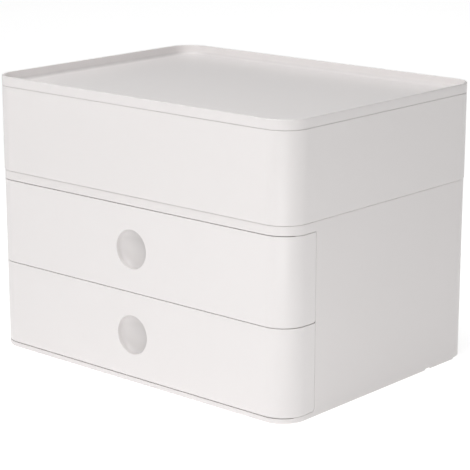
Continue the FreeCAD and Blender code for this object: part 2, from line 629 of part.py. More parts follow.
def makeDivider(label, across):
    body = newBody(label, across=across)
    plate = newSketch(body, "DividerPlate", "-Sizes.dividerThick / 2", "YZ_Plane")
    top, dip = "Places.dividerTop", "Places.dividerTop - Sizes.dividerDip"
    end, edge = "Places.dividerHalf", "Sizes.dipWidth / 2"
    topRound, dipRound = "Sizes.dividerRound", "Sizes.dipRound"
    outline(plate, [(f"-{end}", "Places.boxFloorTop"), (end, "Places.boxFloorTop"),
                    (end, top, topRound), (edge, top, dipRound), (edge, dip, dipRound),
                    (f"-{edge}", dip, dipRound), (f"-{edge}", top, dipRound), (f"-{end}", top, topRound)])
    pad(body, plate, "Sizes.dividerThick")
    return body


# ---------------------------------------------------------------- lid

def makeLid():
    body = newBody("tray_lid")
    plan = ("Places.boxHalfWidth", "Places.boxHalfDepth", "Sizes.cornerRadius")
    slab = newSketch(body, "LidPlan", "Places.lidBottom")
    roundedPlan(slab, *plan)
    pad(body, slab, "Places.lidTop - Places.lidBottom")

    # the sunk tray inside the rim, with a cove all round
    tray = newSketch(body, "LidTray", "Places.lidTop")
    inside = ("Places.boxHalfWidth - Sizes.lidRim", "Places.boxHalfDepth - Sizes.lidRim",
              "Sizes.cornerRadius - Sizes.lidRim")
    roundedPlan(tray, *inside)
    pocket(body, tray, "Sizes.trayDepth")
    rounded(body, "LidCove", "Sizes.coveRound", lambda box:
            isLevelAt(box, "Places.lidFloorTop"))

    # the underside, cut back to a pan that drops in between the box's walls
    pan = newSketch(body, "LidPan", "Places.boxTop")
    aroundPlan(pan, "Places.panHalfWidth", "Places.panHalfDepth", "Places.panRadius")
    pocket(body, pan, "Places.boxTop - Places.lidBottom")

    # the shadow gap above the box
    rebate = newSketch(body, "LidRebate", "Places.boxTop + Sizes.rebateHeight")
    aroundPlan(rebate, "Places.boxHalfWidth - Sizes.rebateDepth",
               "Places.boxHalfDepth - Sizes.rebateDepth", "Sizes.cornerRadius - Sizes.rebateDepth")
    pocket(body, rebate, "Sizes.rebateHeight")

    rounded(body, "LidTopRound", "Sizes.rimRound", lambda box:
            isLevelAt(box, "Places.lidTop") and isOnPlan(box, *plan))
    chamfered(body, "LidInnerEase", "Sizes.edgeEase", lambda box:
              isLevelAt(box, "Places.lidTop") and isOnPlan(box, *inside))
    chamfered(body, "LidPanEase", "Sizes.lowerEase", lambda box:
              isLevelAt(box, "Places.lidBottom"))
    return body


# ---------------------------------------------------------------- feet

def makeFoot(label, across, along):
    body = newBody(label, across=across, along=along)
    disc = newSketch(body, "FootDisc")
    circle(disc, "0", "0", "Places.footRadius")
    pad(body, disc, "Places.floorBottom")
    return body


bodies = [makeHousing()]
for level, lift in (("lower", "0"), ("upper", "Places.drawerPitch")):
    bodies.append(makeTray(f"{level}_drawer_tray", lift))
    bodies.append(makeFront(f"{level}_drawer_front", lift))
bodies.append(makeBox())
for side, across in (("left", "-Sizes.dividerPlace"), ("right", "Sizes.dividerPlace")):
    bodies.append(makeDivider(f"{side}_divider", across))
bodies.append(makeLid())
for end, along in (("front", "-Places.footPlaceY"), ("rear", "Places.footPlaceY")):
    for side, across in (("left", "-Places.footPlaceX"), ("right", "Places.footPlaceX")):
        bodies.append(makeFoot(f"{end}_{side}_foot", across, along))
doc.recompute()

# ---------------------------------------------------------------- checks and export

for thing in doc.Objects:
    if "Invalid" in thing.State or "Error" in thing.State:
        raise RuntimeError(f"{thing.Label} failed: {thing.State}")
for body in bodies:
    if body.Shape.isNull() or not body.Shape.isValid() or len(body.Shape.Solids) != 1:
        raise RuntimeError(f"{body.Label} isn't one valid solid")

os.makedirs("parts", exist_ok=True)
for body in bodies:
    body.Shape.exportStep(f"parts/{body.Label}.step")
    corner = body.Shape.optimalBoundingBox()
    print(f"{body.Label:20s} {body.Shape.Volume / 1000:8.2f} cm3  "
          f"x {corner.XMin:.2f} {corner.XMax:.2f}  y {corner.YMin:.2f} {corner.YMax:.2f}  "
          f"z {corner.ZMin:.2f} {corner.ZMax:.2f}")
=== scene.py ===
import bpy
import bmesh
import math
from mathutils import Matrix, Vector


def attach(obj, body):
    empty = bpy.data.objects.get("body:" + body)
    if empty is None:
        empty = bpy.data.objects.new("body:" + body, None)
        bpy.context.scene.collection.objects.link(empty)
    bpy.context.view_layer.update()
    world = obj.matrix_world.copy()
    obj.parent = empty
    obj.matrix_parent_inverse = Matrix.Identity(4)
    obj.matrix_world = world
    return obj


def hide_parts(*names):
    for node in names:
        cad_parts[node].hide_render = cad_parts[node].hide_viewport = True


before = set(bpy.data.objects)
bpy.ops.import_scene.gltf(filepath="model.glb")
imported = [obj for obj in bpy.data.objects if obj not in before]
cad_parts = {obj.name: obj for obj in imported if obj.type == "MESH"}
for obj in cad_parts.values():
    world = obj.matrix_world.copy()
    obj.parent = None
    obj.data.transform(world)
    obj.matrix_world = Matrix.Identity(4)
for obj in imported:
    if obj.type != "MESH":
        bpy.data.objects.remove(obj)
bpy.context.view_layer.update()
mm = 0.001
print("frame loaded:", len(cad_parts), "nodes")


# camera: three quarters from the right and a little above, with a long lens
view = {"place": (0.77199, -0.87485, 0.38063), "target": (0.00307, 0.0, 0.08252),
        "roll": 0.049, "lens": 135.79, "sensor": 36}


def placeCamera():
    bpy.ops.object.camera_add(location=view["place"])
    camera = bpy.context.object
    camera.name = "studioCamera"
    look = Vector(view["target"]) - Vector(view["place"])
    turn = look.to_track_quat("-Z", "Y").to_matrix().to_4x4()
    camera.rotation_euler = turn.to_euler()
    camera.rotation_euler.rotate_axis("Z", math.radians(view["roll"]))
    camera.data.lens = view["lens"]
    camera.data.sensor_width = view["sensor"]
    bpy.context.scene.camera = camera


placeCamera()
print("camera placed")


# a plan is half width, half depth and corner radius; this gives one that stands in all round
def smaller(plan, inset):
    return tuple(length - inset for length in plan)


# what several pieces share, in millimetres, with heights above the ground
wallThick = 2.0
boxPlan = (130.0, 97.5, 18.0)
housingPlan = smaller(boxPlan, 0.4)
bayPlan = smaller(housingPlan, wallThick)
cornerSteps = 18
drawerPitch = 57.1
drawerTravel = 125
levels = {"skirt": 1.5, "floorUnder": 3.15, "floor": 5.15, "shelfUnder": 60.25, "shelf": 62.25,
          "plateUnder": 119.9, "plate": 122.3, "box": 126.1, "boxFloor": 128.3, "boxTop": 183.4,
          "lidTop": 190.0}
# seam is the line that shows between two pieces; the others are hidden
gaps = {"seam": 0.2, "side": 0.4, "above": 0.9, "rear": 1.2, "pull": 0.3, "divider": 0.25,
        "locator": 0.5, "pan": 0.3}
pull = {"height": 33.975, "radius": 13, "depth": 8, "wall": 1.8}
ribs = {"guideProud": 1.0, "runnerHeight": 1.6, "stopHeight": 1.2, "stopPlace": 60, "stopHalf": 11,
        "stopThick": 2.5}


# shader sums are written as plain Python on Wire, and every node is made by Finish.node
class Wire:
    def __init__(self, finish, socket):
        self.finish = finish
        self.socket = socket

    def sum(self, operation, first, second):
        return self.finish.node("ShaderNodeMath", {"operation": operation}, {0: first, 1: second})

    def __add__(self, other):
        return self.sum("ADD", self, other)

    def __sub__(self, other):
        return self.sum("SUBTRACT", self, other)

    def __rsub__(self, other):
        return self.sum("SUBTRACT", other, self)

    def __mul__(self, other):
        return self.sum("MULTIPLY", self, other)

    def __truediv__(self, other):
        return self.sum("DIVIDE", self, other)

    def __rtruediv__(self, other):
        return self.sum("DIVIDE", other, self)

    __radd__ = __add__
    __rmul__ = __mul__


class Finish:
    def __init__(self, name, sky=None):
        self.material = sky or bpy.data.materials.new(name)
        self.material.use_nodes = True
        self.tree = self.material.node_tree
        self.shader = self.tree.nodes["Background" if sky else "Principled BSDF"]

    def node(self, kind, settings, inputs, output=0):
        made = self.tree.nodes.new(kind)
        for name, value in settings.items():
            setattr(made, name, value)
        for name, value in inputs.items():
            self.feed(made.inputs[name], value)
        return Wire(self, made.outputs[output])

    def feed(self, socket, value):
        if isinstance(value, Wire):
            self.tree.links.new(value.socket, socket)
        else:
            socket.default_value = value

    def set(self, **sockets):
        for name, value in sockets.items():
            self.feed(self.shader.inputs[name.replace("_", " ")], value)

    def place(self):
        return self.node("ShaderNodeTexCoord", {}, {}, "Object")

    def noise(self, scale, detail=2.0, roughness=0.5):
        return self.node("ShaderNodeTexNoise", {}, {
            "Vector": self.place(), "Scale": scale, "Detail": detail, "Roughness": roughness})

    def ramp(self, value, near, far, before=0.0, after=1.0):
        # eases from one number to another while the value goes from near to far
        return self.node("ShaderNodeMapRange", {"interpolation_type": "SMOOTHSTEP"}, {
            "Value": value, "From Min": near, "From Max": far, "To Min": before, "To Max": after})

    def blend(self, share, first, second):
        # a colour between two colours: the node's colour sockets are 6 and 7, and its output is 2
        first = first if isinstance(first, Wire) else (*first, 1)
        return self.node("ShaderNodeMix", {"data_type": "RGBA"},
                         {"Factor": share, 6: first, 7: (*second, 1)}, 2)

    def bump(self, height, strength, depth, under=None):
        # under is a coarser bump that this one lies on
        inputs = {"Height": height, "Strength": strength, "Distance": depth}
        if under:
            inputs["Normal"] = under
        return self.node("ShaderNodeBump", {}, inputs)


# moulded plastics: a slow drift of tone, smears of gloss, a faint ripple and a fine grain;
# each noise has its scale, detail and roughness
mould = {"drift": (9.0, 3.0), "speckle": (900.0, 2.0), "speckleShare": 0.1,
         "smears": (34.0, 4.0, 0.6), "smearGloss": 0.05, "speckleGloss": 0.02,
         "ripple": (110.0, 1.0), "rippleDepth": 0.00006,
         "grain": (2600.0, 2.0), "grainDepth": 0.00003, "refraction": 1.5}
plastics = {
    "housing_plastic": {"tone": (0.735, 0.706, 0.698), "warm": (0.745, 0.717, 0.710),
                        "gloss": 0.33, "ripple": 0.05, "grain": 0.05},
    "front_plastic": {"tone": (0.747, 0.719, 0.712), "warm": (0.757, 0.730, 0.724),
                      "gloss": 0.31, "ripple": 0.05, "grain": 0.04},
    "box_plastic": {"tone": (0.740, 0.712, 0.704), "warm": (0.750, 0.723, 0.716),
                    "gloss": 0.32, "ripple": 0.05, "grain": 0.04},
    "lid_plastic": {"tone": (0.734, 0.706, 0.699), "warm": (0.744, 0.717, 0.710),
                    "gloss": 0.30, "ripple": 0.03, "grain": 0.04},
    "tray_plastic": {"tone": (0.710, 0.684, 0.677), "warm": (0.728, 0.702, 0.696),
                     "gloss": 0.42, "ripple": 0.06, "grain": 0.20},
    "divider_plastic": {"tone": (0.705, 0.680, 0.673), "warm": (0.723, 0.698, 0.692),
                        "gloss": 0.42, "ripple": 0.06, "grain": 0.20},
}


# painted shade: the finger pulls' bowls are drawn darker than their panel: not at the rim, fully from
# some way inside, and most of all towards the upper right
paintedBowlShade = {"reach": 13.1, "rim": -96.8, "inside": -91.5, "across": 0.6, "up": 0.8,
             "lowerLeft": -0.7, "upperRight": 0.85, "least": 0.01, "most": 0.26}


def paintBowlShade(plastic, colour):
    shade, half, reach = paintedBowlShade, drawerPitch / 2 * mm, paintedBowlShade["reach"] * mm
    across, along, up = (plastic.node("ShaderNodeSeparateXYZ", {}, {"Vector": plastic.place()}, axis)
                         for axis in "XYZ")
    # both bowls are one pitch apart, so the height is wrapped round the middle of either
    up = plastic.node("ShaderNodeMath", {"operation": "WRAP"},
                      {0: up - pull["height"] * mm, 1: half, 2: -half})
    here = plastic.node("ShaderNodeMath", {"operation": "COMPARE"}, {0: across, 1: 0.0, 2: reach})
    slant = (across * shade["across"] + up * shade["up"]) / reach
    amount = plastic.ramp(slant, shade["lowerLeft"], shade["upperRight"], shade["least"], shade["most"])
    depth = plastic.ramp(along, shade["rim"] * mm, shade["inside"] * mm)
    # painted shade: the bowl's colour is blended towards black
    return plastic.blend(amount * here * depth, colour, (0, 0, 0))


# painted light: the inner walls of the lid's rim are drawn paler than its floor; this sets in between
# two heights, over the cove at their foot, and only on faces that look towards the middle
paintedLidWallLight = {"foot": 184.2, "wall": 186.2, "faint": -30, "full": -50, "tone": (0.893, 0.859, 0.851)}


def paintLidWallLight(plastic, colour):
    # a wall faces the middle where its normal points against its place, seen from above
    place = plastic.place()
    up = plastic.node("ShaderNodeSeparateXYZ", {}, {"Vector": place}, "Z")
    level = plastic.node("ShaderNodeVectorMath", {"operation": "MULTIPLY"}, {0: place, 1: (1, 1, 0)})
    normal = plastic.node("ShaderNodeTexCoord", {}, {}, "Normal")
    facing = plastic.node("ShaderNodeVectorMath", {"operation": "DOT_PRODUCT"}, {0: level, 1: normal}, 1)
    share = plastic.ramp(up, paintedLidWallLight["foot"] * mm, paintedLidWallLight["wall"] * mm)
    share = share * plastic.ramp(facing, paintedLidWallLight["faint"] * mm, paintedLidWallLight["full"] * mm)
    # painted light: the walls' colour is blended towards a paler tone
    return plastic.blend(share, colour, paintedLidWallLight["tone"])


# painted shade in the bowls and painted light on the lid's inner walls, by finish
paintedLightAndShade = {"front_plastic": paintBowlShade, "lid_plastic": paintLidWallLight}


def makePlastic(name, look):
    plastic = Finish(name)
    drift = plastic.noise(*mould["drift"])
    speckle = plastic.noise(*mould["speckle"])
    mottle = drift * (1 - mould["speckleShare"]) + speckle * mould["speckleShare"]
    colour = plastic.blend(mottle, look["tone"], look["warm"])
    # painted light and shade go into the base colour here
    if name in paintedLightAndShade:
        colour = paintedLightAndShade[name](plastic, colour)
    plastic.set(Base_Color=colour)
    smears = plastic.noise(*mould["smears"])
    plastic.set(Roughness=look["gloss"] + (smears - 0.5) * mould["smearGloss"]
                + (speckle - 0.5) * mould["speckleGloss"])
    ripple = plastic.bump(plastic.noise(*mould["ripple"]), look["ripple"], mould["rippleDepth"])
    grain = plastic.bump(plastic.noise(*mould["grain"]), look["grain"], mould["grainDepth"], ripple)
    plastic.set(Normal=grain, IOR=mould["refraction"])
    return plastic.material


# rubber of the feet: dull and dusty, with a fine grain
rubberLook = {"clean": (0.30, 0.30, 0.31), "dusty": (0.40, 0.40, 0.41), "dust": (260.0, 5.0, 0.65),
              "gloss": 0.72, "dustGloss": 0.15, "grain": (1500.0, 3.0), "grainStrength": 0.4,
              "grainDepth": 0.0001}


def makeRubber(name):
    rubber = Finish(name)
    dust = rubber.noise(*rubberLook["dust"])
    rubber.set(Base_Color=rubber.blend(dust, rubberLook["clean"], rubberLook["dusty"]))
    rubber.set(Roughness=rubberLook["gloss"] + dust * rubberLook["dustGloss"])
    rubber.set(Normal=rubber.bump(rubber.noise(*rubberLook["grain"]), rubberLook["grainStrength"],
                                  rubberLook["grainDepth"]))
    return rubber.material


finishes = {name: makePlastic(name, look) for name, look in plastics.items()}
finishes["foot_rubber"] = makeRubber("foot_rubber")
print("finishes made:", len(finishes))


# modelling: every length is in millimetres, and each piece starts as a block or a turned blank
closeBy = 0.02     # places nearer than this are the same
facetDip = 0.06    # the facets of a round corner stand in from it by less than this
levelNormal = 0.9  # a level face's normal points up or down by more than this
sharp = 40         # degrees between the faces of an edge that can be rounded
smooth = 35        # degrees below which an edge is shaded smooth
past = 5           # how far a cutter reaches past what it cuts
sunk = 1           # how far a rib is sunk into what it grows from


def holdOnly(piece):
    bpy.ops.object.select_all(action="DESELECT")
    piece.select_set(True)
    bpy.context.view_layer.objects.active = piece


def settle(piece, name):
    piece.name = name
    holdOnly(piece)
    bpy.ops.object.transform_apply(location=True, rotation=True, scale=True)
    return piece


def block(name, low, high):
    bpy.ops.object.select_all(action="DESELECT")
    middle = [(a + b) / 2 * mm for a, b in zip(low, high)]
    bpy.ops.mesh.primitive_cube_add(size=1, location=middle)
    bpy.context.object.scale = [(b - a) * mm for a, b in zip(low, high)]
    return settle(bpy.context.object, name)


def same(one, other):
    return abs(one - other) < closeBy


def pick(piece, part, chosen):
    # leaves the piece in edit mode with the chosen corners, edges or faces selected
    holdOnly(piece)
    bpy.ops.object.mode_set(mode="EDIT")
    bpy.ops.mesh.select_mode(type=part)
    bpy.ops.mesh.select_all(action="DESELECT")
    shape = bmesh.from_edit_mesh(piece.data)
    found = 0
    for one in {"VERT": shape.verts, "EDGE": shape.edges, "FACE": shape.faces}[part]:
        if chosen(one):
            one.select_set(True)
            found += 1
    shape.select_flush_mode()
    bmesh.update_edit_mesh(piece.data)
    if not found:
        raise RuntimeError(piece.name + ": nothing to pick")


def roundEdges(piece, rounding, chosen):
    # a rounding is its radius and its number of steps; chosen gets an edge's two ends and the
    # angle between its faces, in degrees
    radius, steps = rounding

    def test(edge):
        angle = math.degrees(edge.calc_face_angle(0.0))
        return chosen(edge.verts[0].co / mm, edge.verts[1].co / mm, angle)

    pick(piece, "EDGE", test)
    bpy.ops.mesh.bevel(offset=radius * mm, segments=steps, profile=0.5, affect="EDGES",
                       clamp_overlap=False)
    bpy.ops.object.mode_set(mode="OBJECT")


def upright(a, b, angle):
    return same(a.x, b.x) and same(a.y, b.y) and angle > sharp


def levelAt(height):
    return lambda a, b, angle: same(a.z, height) and same(b.z, height) and angle > sharp


def inFrom(point, plan):
    # how far a point stands in from a plan with round corners
    halfWidth, halfDepth, corner = plan
    across = max(abs(point.x) - (halfWidth - corner), 0)
    along = max(abs(point.y) - (halfDepth - corner), 0)
    if across == 0 or along == 0:
        return min(halfWidth - abs(point.x), halfDepth - abs(point.y))
    return corner - math.hypot(across, along)


def onWall(plan, inset, low, high):
    # sharp edges on the upright wall that stands in by the inset, between two heights
    def test(a, b, angle):
        middle = (a + b) / 2
        return (angle > sharp and low - closeBy < middle.z < high + closeBy
                and all(abs(inFrom(point, plan) - inset) < facetDip for point in (a, b, middle)))
    return test


def stepFace(piece, up, height, moves):
    # insets the level face at that height and moves its inside up or down, once for each pair
    pick(piece, "FACE", lambda face: face.normal.z * up > levelNormal
         and same(face.calc_center_median().z / mm, height))
    for inset, rise in moves:
        bpy.ops.mesh.inset(thickness=inset * mm, use_even_offset=True)
        bpy.ops.mesh.extrude_region_move(TRANSFORM_OT_translate={"value": (0, 0, rise * mm)})
    bpy.ops.object.mode_set(mode="OBJECT")


def finishWith(piece, kind, **settings):
    modifier = piece.modifiers.new(kind.lower(), kind)
    for name, value in settings.items():
        setattr(modifier, name, value)
    holdOnly(piece)
    bpy.ops.object.modifier_apply(modifier=modifier.name)


def gather(pieces):
    bpy.ops.object.select_all(action="DESELECT")
    for piece in pieces:
        piece.select_set(True)
    bpy.context.view_layer.objects.active = pieces[0]
    bpy.ops.object.join()
    return bpy.context.object


def merge(piece, others, operation):
    # joins blocks that don't touch each other, then adds them to the piece or cuts them from it
    tool = gather(others)
    finishWith(piece, "BOOLEAN", object=tool, operation=operation, solver="EXACT")
    bpy.data.objects.remove(tool)


def addTo(piece, others):
    merge(piece, others, "UNION")


def cutFrom(piece, others):
    merge(piece, others, "DIFFERENCE")


def dress(piece, node, body, slot):
    holdOnly(piece)
    bpy.ops.object.shade_smooth_by_angle(angle=math.radians(smooth))
    finishWith(piece, "WEIGHTED_NORMAL", keep_sharp=True)
    for wearer in (piece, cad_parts[node]):
        wearer.data.materials.clear()
        wearer.data.materials.append(finishes[slot])
    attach(piece, body)
    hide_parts(node)


def raisedCopy(piece, name):
    # the upper drawer's pieces are the lower one's, a pitch higher
    holdOnly(piece)
    bpy.ops.object.duplicate()
    bpy.context.object.location = (0, 0, drawerPitch * mm)
    return settle(bpy.context.object, name)


def spread(side, near, far):
    # two distances from the middle, as coordinates on one side of it, the lower one first
    return sorted((side * near, side * far))


# tray lid: a slab with a sunk tray and cove above, and a shadow gap and a pan below
lid = {"bottom": levels["boxTop"] + gaps["seam"], "top": levels["lidTop"], "rim": 2.0, "thick": 2.0,
       "trayDepth": 7.0, "rebate": 0.5, "cove": (3.0, 8), "topRound": (0.8, 5),
       "innerRound": (0.5, 3), "lowerRound": (0.15, 2), "panRound": (0.8, 3)}


def makeLid():
    wide, deep, corner = boxPlan
    floor = lid["top"] - lid["trayDepth"]
    panBottom = floor - lid["thick"]
    panInset = wallThick + gaps["pan"]
    shell = block("lidShell", (-wide, -deep, lid["bottom"]), (wide, deep, lid["top"]))
    roundEdges(shell, (corner, cornerSteps), upright)
    stepFace(shell, 1, lid["top"], [(lid["rim"], -lid["trayDepth"])])
    stepFace(shell, -1, lid["bottom"], [(lid["rebate"], -gaps["seam"]),
                                        (panInset - lid["rebate"], panBottom - levels["boxTop"])])
    roundEdges(shell, lid["cove"], levelAt(floor))
    roundEdges(shell, lid["topRound"], onWall(boxPlan, 0, lid["top"], lid["top"]))
    roundEdges(shell, lid["innerRound"], onWall(boxPlan, lid["rim"], lid["top"], lid["top"]))
    roundEdges(shell, lid["lowerRound"], onWall(boxPlan, 0, lid["bottom"], lid["bottom"]))
    roundEdges(shell, lid["panRound"], levelAt(panBottom))
    dress(shell, "tray_lid", "tray_lid", "lid_plastic")


makeLid()
print("tray lid modelled")


# dividers: thin plates with a finger dip in the top edge
divider = {"thick": 1.8, "height": 46, "dip": 8, "dipHalf": 22, "corner": (4, 8),
           "dipCorner": (3.5, 8), "lowerCorner": (1.8, 4), "edge": (0.4, 2),
           "places": {"left": -42, "right": 42}}


def makeDivider(side, place):
    half = boxPlan[1] - wallThick - gaps["divider"]
    thick, bottom, top = divider["thick"] / 2, levels["boxFloor"], levels["boxFloor"] + divider["height"]
    dipFloor = top - divider["dip"]
    plate = block(side + "DividerPlate", (place - thick, -half, bottom), (place + thick, half, top))
    roundEdges(plate, divider["corner"], lambda a, b, angle:
               same(a.z, top) and same(b.z, top) and same(a.y, b.y))
    roundEdges(plate, divider["lowerCorner"], lambda a, b, angle:
               same(a.z, bottom) and same(b.z, bottom) and same(a.y, b.y))
    cutter = block("dipCutter", (place - past, -divider["dipHalf"], dipFloor),
                   (place + past, divider["dipHalf"], top + past))
    roundEdges(cutter, divider["dipCorner"], lambda a, b, angle:
               same(a.z, dipFloor) and same(b.z, dipFloor) and same(a.y, b.y))
    cutFrom(plate, [cutter])
    roundEdges(plate, divider["dipCorner"], lambda a, b, angle:
               same(a.z, top) and same(b.z, top) and same(a.y, b.y)
               and same(abs(a.y), divider["dipHalf"]))
    roundEdges(plate, divider["edge"], lambda a, b, angle: angle > sharp and same(a.x, b.x))
    dress(plate, side + "_divider", "organiser_box", "divider_plastic")


# organiser box: walls and floor, the cable outlet, divider slots and the ribs that locate it
box = {"bottom": levels["box"], "floor": levels["boxFloor"], "top": levels["boxTop"],
       "floorRound": (1.5, 4), "bottomRound": (0.3, 4),
       "outlet": {"half": 13, "drop": 11, "corner": (3, 6), "edge": (0.35, 2)},
       "slots": {"thick": 1.6, "proud": 2.5, "edge": (0.35, 2)},
       "locators": {"thick": 2.0, "edge": (0.4, 2)}}


def cutOutlet(shell):
    outlet, deep = box["outlet"], boxPlan[1]
    bottom = box["top"] - outlet["drop"]
    cutter = block("outletCutter", (-outlet["half"], deep - past, bottom),
                   (outlet["half"], deep + past, box["top"] + past))
    roundEdges(cutter, outlet["corner"], lambda a, b, angle:
               same(a.z, bottom) and same(b.z, bottom) and same(a.x, b.x))
    cutFrom(shell, [cutter])
    roundEdges(shell, outlet["edge"], lambda a, b, angle: angle > sharp
               and all(point.z > bottom - sunk
                       and -facetDip < inFrom(point, boxPlan) < wallThick + facetDip
                       for point in (a, b))
               and not (same(a.x, b.x) and same(a.z, b.z)))


def makeSlotRibs():
    slots, floor, made = box["slots"], box["floor"], []
    half = divider["thick"] / 2 + gaps["divider"]
    inner = boxPlan[1] - wallThick
    for place in divider["places"].values():
        for side in (-1, 1):
            left, right = (place + across for across in spread(side, half, half + slots["thick"]))
            for end in (-1, 1):
                free = end * (inner - slots["proud"])
                front, back = spread(end, inner - slots["proud"], inner + sunk)
                rib = block("slotRib", (left, front, floor - sunk),
                            (right, back, floor + divider["height"]))
                roundEdges(rib, slots["edge"], lambda a, b, angle:
                           same(a.y, free) and same(b.y, free) and a.z + b.z > 2 * floor)
                made.append(rib)
    return made


def makeLocators():
    # four straight ribs that stand on the housing's plate inside its rim
    wide, deep, corner = bayPlan
    thick, low, high = box["locators"]["thick"], levels["plate"], (box["bottom"] + box["floor"]) / 2
    made = []
    for side in (-1, 1):
        left, right = spread(side, wide - gaps["locator"], wide - gaps["locator"] - thick)
        made.append(block("locator", (left, corner - deep, low), (right, deep - corner, high)))
        front, back = spread(side, deep - gaps["locator"], deep - gaps["locator"] - thick)
        made.append(block("locator", (corner - wide, front, low), (wide - corner, back, high)))
    for rib in made:
        roundEdges(rib, box["locators"]["edge"], levelAt(low))
    return made


def makeBox():
    wide, deep, corner = boxPlan
    shell = block("boxShell", (-wide, -deep, box["bottom"]), (wide, deep, box["top"]))
    roundEdges(shell, (corner, cornerSteps), upright)
    stepFace(shell, 1, box["top"], [(wallThick, box["floor"] - box["top"])])
    roundEdges(shell, box["floorRound"], levelAt(box["floor"]))
    roundEdges(shell, box["bottomRound"], levelAt(box["bottom"]))
    cutOutlet(shell)
    addTo(shell, makeSlotRibs() + makeLocators())
    dress(shell, "organiser_box", "organiser_box", "box_plastic")


makeBox()
print("organiser box modelled")

for side, place in divider["places"].items():
    makeDivider(side, place)
print("dividers modelled")


# drawer trays: a rounded floor, a rounded rim and two stops underneath
tray = {"half": bayPlan[0] - ribs["guideProud"] - gaps["side"],
        "front": pull["depth"] + pull["wall"] + gaps["pull"] - housingPlan[1],
        "back": bayPlan[1] - gaps["rear"], "bottom": levels["floor"] + ribs["runnerHeight"],
        "top": levels["shelfUnder"] - gaps["above"], "wall": 1.8, "floor": 1.8,
        "frontCorner": (8, 10), "rearCorner": (15, 14), "floorRound": (3.0, 6),
        "rimRound": (0.6, 4), "bottomRound": (0.8, 4)}


def makeTray():
    half, low, high = tray["half"], tray["bottom"], tray["top"]
    shell = block("lowerTrayShell", (-half, tray["front"], low), (half, tray["back"], high))
    roundEdges(shell, tray["frontCorner"], lambda a, b, angle: upright(a, b, angle) and a.y < 0)
    roundEdges(shell, tray["rearCorner"], lambda a, b, angle:
               upright(a, b, angle) and same(a.y, tray["back"]))
    floor = low + tray["floor"]
    stepFace(shell, 1, high, [(tray["wall"], floor - high)])
    roundEdges(shell, tray["floorRound"], levelAt(floor))
    roundEdges(shell, tray["rimRound"], levelAt(high))
    roundEdges(shell, tray["bottomRound"], levelAt(low))
    back, half = tray["back"] - ribs["stopThick"], ribs["stopHalf"]
    addTo(shell, [block("stop", (middle - half, back - ribs["stopThick"], low - ribs["stopHeight"]),
                        (middle + half, back, low + tray["floor"] / 2))
                  for middle in (-ribs["stopPlace"], ribs["stopPlace"])])
    return shell


# housing: one moulding with a recess on top, two bays open in front, ribs and a skirt
housing = {"bottom": levels["skirt"], "top": levels["box"] - gaps["seam"],
           "skirtRound": (1.4, 6), "rimRound": (0.25, 3), "rimInnerRound": (0.3, 2),
           "opening": {"bottom": 5.48, "top": 119.60, "back": -69.9,
                       "corner": (2.2, 6), "edge": (0.15, 2)},
           "bays": ((levels["floor"], levels["shelfUnder"]), (levels["shelf"], levels["plateUnder"])),
           "ribFront": -69.3, "ribLength": 140,
           "runner": {"inset": 26, "half": 1.5},
           "guide": {"heights": (9, 38), "thick": 3.0},
           "catchRamp": 5.0, "railThick": 4.5,
           "relief": {"middle": 51, "half": 3.5}}


def cutBays(shell):
    # the opening for the drawer fronts, then the two bays behind it
    wide, deep = housingPlan[:2]
    opening = housing["opening"]
    cutter = block("openingCutter", (-wide - past, -deep - past, opening["bottom"]),
                   (wide + past, opening["back"], opening["top"]))
    roundEdges(cutter, opening["corner"], lambda a, b, angle: all(
        same(point.y, opening["back"]) and same(point.z, opening["bottom"]) for point in (a, b)))
    cutFrom(shell, [cutter])
    bayWide, bayBack, bayCorner = bayPlan
    for low, high in housing["bays"]:
        bay = block("bayCutter", (-bayWide, -deep - past, low), (bayWide, bayBack, high))
        roundEdges(bay, (bayCorner, cornerSteps), lambda a, b, angle: upright(a, b, angle) and a.y > 0)
        cutFrom(shell, [bay])
    roundEdges(shell, opening["edge"], onWall(housingPlan, 0, opening["bottom"], opening["top"]))


def makeCatch(middle, low):
    # the ramp lets the tray's stop in, and the upright back holds it
    ramp, top = housing["catchRamp"], low + ribs["stopHeight"]
    back = tray["back"] - 2 * ribs["stopThick"] - drawerTravel - gaps["side"]
    front = back - ramp
    catch = block("catch", (middle - ribs["stopHalf"], front, low - sunk),
                  (middle + ribs["stopHalf"], back, top))
    pick(catch, "EDGE", lambda edge: all(
        same(vert.co.z / mm, top) and same(vert.co.y / mm, front) for vert in edge.verts))
    bpy.ops.transform.translate(value=(0, (ramp - ribs["stopHeight"]) * mm, 0))
    bpy.ops.object.mode_set(mode="OBJECT")
    return catch


def makeDrawerRibs():
    # ribs that carry, guide, stop and hold down the drawers
    runner, guide = housing["runner"], housing["guide"]
    front, back = housing["ribFront"], housing["ribFront"] + housing["ribLength"]
    half, buried = bayPlan[0], bayPlan[0] + sunk
    made = []
    for low in (levels["floor"], levels["shelf"]):
        carried = low + ribs["runnerHeight"]
        for side in (-1, 1):
            middle = side * (tray["half"] - runner["inset"])
            made.append(block("runner", (middle - runner["half"], front, low - sunk),
                              (middle + runner["half"], back, carried)))
            left, right = spread(side, half - ribs["guideProud"], buried)
            for height in guide["heights"]:
                made.append(block("guide", (left, front, carried + height),
                                  (right, back, carried + height + guide["thick"])))
            made.append(makeCatch(side * ribs["stopPlace"], low))
    railBottom = tray["top"] + drawerPitch + gaps["above"]
    for side in (-1, 1):
        left, right = spread(side, half - housing["railThick"], buried)
        made.append(block("rail", (left, front, railBottom),
                          (right, back, levels["plateUnder"] + sunk)))
    return made


def makeReliefs():
    # cutters for the skirt's side walls and its rear corners
    wide, deep, corner = housingPlan
    middle, half = housing["relief"]["middle"], housing["relief"]["half"]
    high = levels["floorUnder"]
    made = []
    for side in (-1, 1):
        left, right = spread(side, wide - 2 * wallThick, wide + past)
        made.append(block("notch", (left, middle - half, 0), (right, middle + half, high)))
        left, right = spread(side, wide - corner, wide + past)
        made.append(block("notch", (left, deep - corner, 0), (right, deep + past, high)))
    return made


